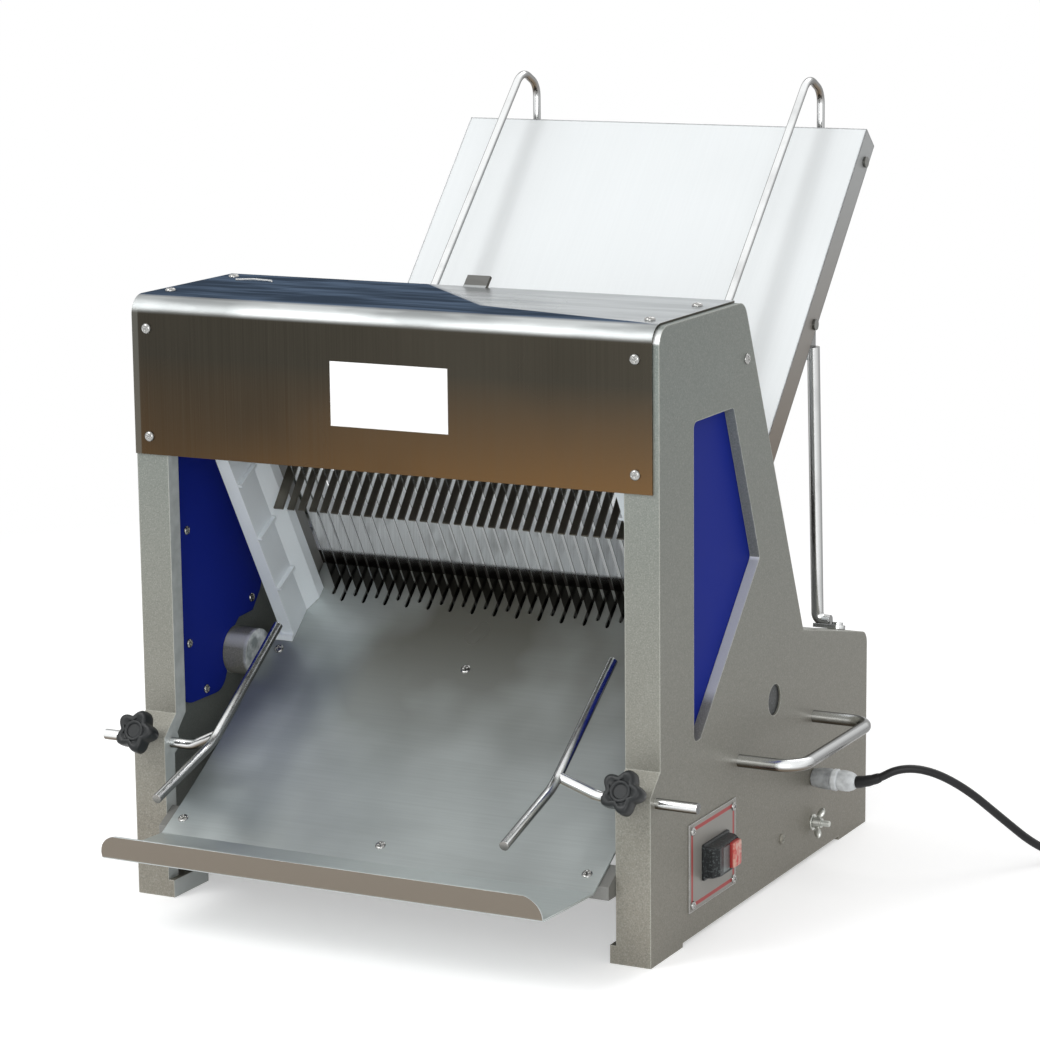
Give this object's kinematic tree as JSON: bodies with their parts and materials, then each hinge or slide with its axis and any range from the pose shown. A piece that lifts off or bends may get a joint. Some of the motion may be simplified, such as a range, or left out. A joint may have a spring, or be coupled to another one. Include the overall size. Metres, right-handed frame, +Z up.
{
  "type": "bench bread slicer",
  "caption": "Electric bench bread slicer: sloping infeed tray, reciprocating blade frames driven by a crank and belt, slotted comb and a hollow outfeed chute with guide bars.",
  "frame": {"origin": "on the surface under the middle of the machine, cord left out", "axes": "+Z up, -Y towards the outfeed chute, +X towards the side with the switch"},
  "size_m": [0.971, 0.779, 0.7401],
  "materials": {
    "frame_paint": "casting with satin warm silver-grey paint",
    "window_blue": "glossy cobalt blue",
    "cover_steel": "brushed across",
    "chute_steel": "brushed across",
    "tray_steel": "polished",
    "comb_steel": "satin",
    "guard_alloy": "cast, satin",
    "blade_steel": "bright",
    "bright_steel": "bright",
    "zinc": "zinc plated",
    "machined_steel": "machined",
    "frame_steel": "plain steel",
    "bronze": "plain",
    "black_plastic": "black",
    "rail_plastic": "natural",
    "belt_rubber": "black",
    "motor_paint": "grey enamel",
    "label_white": "white",
    "switch_plate_paint": "grey with a red border line",
    "button_red": "red",
    "gland_grey": "light grey",
    "cord_black": "black sheath"
  },
  "bodies": {
    "housing": {"bare_plate": "label_white", "base_plate": "frame_steel", "cable_gland": "gland_grey", "chute_front_bar": "frame_steel", "chute_rear_bar": "frame_steel", "chute_screws": "bright_steel", "comb_rail": "comb_steel", "cord": "cord_black", "cord_coil": "cord_black", "cover_clip": "bright_steel", "cover_screws": "bright_steel", "crank_bearings": "bronze", "drive_belt": "belt_rubber", "earth_stud": "zinc", "frame_screws": "bright_steel", "front_cover": "cover_steel", "hole_plugs": "black_plastic", "infeed_cross_rod": "bright_steel", "infeed_tray": "tray_steel", "left_blade_guard": "guard_alloy", "left_carry_handle": "bright_steel", "left_side_frame": "frame_paint", "left_slide_rail": "rail_plastic", "left_support_rod": "bright_steel", "left_window_plate": "window_blue", "motor": "motor_paint", "outfeed_chute": "chute_steel", "plug": "cord_black", "rear_cover": "frame_steel", "right_blade_guard": "guard_alloy", "right_carry_handle": "bright_steel", "right_side_frame": "frame_paint", "right_slide_rail": "rail_plastic", "right_support_rod": "bright_steel", "right_window_plate": "window_blue", "slice_comb": "comb_steel", "switch_box": "black_plastic", "switch_plate": "switch_plate_paint", "switch_screws": "bright_steel", "tray_bolts": "bright_steel", "window_plate_screws": "bright_steel"},
    "blade_frame_a": {"blade_frame_a": "frame_steel", "blades_a": "blade_steel"},
    "blade_frame_b": {"blade_frame_b": "frame_steel", "blades_b": "blade_steel"},
    "connecting_rods_a": {"connecting_rods_a": "machined_steel"},
    "connecting_rods_b": {"connecting_rods_b": "machined_steel"},
    "crankshaft": {"crankshaft": "machined_steel", "crank_pulley": "machined_steel"},
    "motor_rotor": {"motor_pulley": "machined_steel"},
    "left_outfeed_guide": {"left_outfeed_guide": "bright_steel"},
    "right_outfeed_guide": {"right_outfeed_guide": "bright_steel"},
    "left_star_knob": {"left_star_knob": "black_plastic"},
    "right_star_knob": {"right_star_knob": "black_plastic"},
    "left_infeed_guide": {"left_infeed_guide": "bright_steel"},
    "right_infeed_guide": {"right_infeed_guide": "bright_steel"},
    "switch_button": {"switch_button": "button_red"},
    "wing_nut": {"wing_nut": "zinc"}
  },
  "joints": [
    {"name": "blade_frame_a_slide", "type": "slide", "parent": "housing", "child": "blade_frame_a", "axis": [0, -0.5075, 0.8616], "range_m": [-0.015, 0.015]},
    {"name": "blade_frame_b_slide", "type": "slide", "parent": "housing", "child": "blade_frame_b", "axis": [0, -0.5075, 0.8616], "range_m": [-0.015, 0.015]},
    {"name": "connecting_rods_a_swing", "type": "hinge", "parent": "blade_frame_a", "child": "connecting_rods_a", "pos_m": [0, 0.04281, 0.12119], "axis": [1, 0, 0], "range_deg": [0, 28]},
    {"name": "connecting_rods_b_swing", "type": "hinge", "parent": "blade_frame_b", "child": "connecting_rods_b", "pos_m": [0, 0.06746, 0.1357], "axis": [1, 0, 0], "range_deg": [-28, 0]},
    {"name": "crankshaft_spin", "type": "hinge", "parent": "housing", "child": "crankshaft", "pos_m": [0, 0.08559, 0.07675], "axis": [1, 0, 0], "continuous": true},
    {"name": "motor_spin", "type": "hinge", "parent": "housing", "child": "motor_rotor", "pos_m": [0, 0.18446, 0.09], "axis": [1, 0, 0], "continuous": true},
    {"name": "right_outfeed_guide_slide", "type": "slide", "parent": "housing", "child": "right_outfeed_guide", "axis": [1, 0, 0], "range_m": [-0.035, 0.012]},
    {"name": "left_outfeed_guide_slide", "type": "slide", "parent": "housing", "child": "left_outfeed_guide", "axis": [-1, 0, 0], "range_m": [-0.035, 0.012]},
    {"name": "right_star_knob_turn", "type": "hinge", "parent": "housing", "child": "right_star_knob", "pos_m": [0.251, -0.24654, 0.148], "axis": [0, -0.8988, 0.4384], "range_deg": [0, 300]},
    {"name": "left_star_knob_turn", "type": "hinge", "parent": "housing", "child": "left_star_knob", "pos_m": [-0.251, -0.24654, 0.148], "axis": [0, -0.8988, 0.4384], "range_deg": [0, 300]},
    {"name": "right_infeed_guide_slide", "type": "slide", "parent": "housing", "child": "right_infeed_guide", "axis": [1, 0, 0], "range_m": [-0.1, 0.04]},
    {"name": "left_infeed_guide_slide", "type": "slide", "parent": "housing", "child": "left_infeed_guide", "axis": [-1, 0, 0], "range_m": [-0.1, 0.04]},
    {"name": "switch_button_press", "type": "slide", "parent": "housing", "child": "switch_button", "axis": [-1, 0, 0], "range_m": [0, 0.003], "stiffness_N_per_m": 500},
    {"name": "wing_nut_turn", "type": "hinge", "parent": "housing", "child": "wing_nut", "pos_m": [0.27, 0.11446, 0.0365], "axis": [1, 0, 0], "range_deg": [0, 300]}
  ],
  "couplings": [
    {"joint": "blade_frame_b_slide", "follows": "blade_frame_a_slide", "ratio": -1},
    {"joint": "motor_spin", "follows": "crankshaft_spin", "ratio": 2}
  ]
}
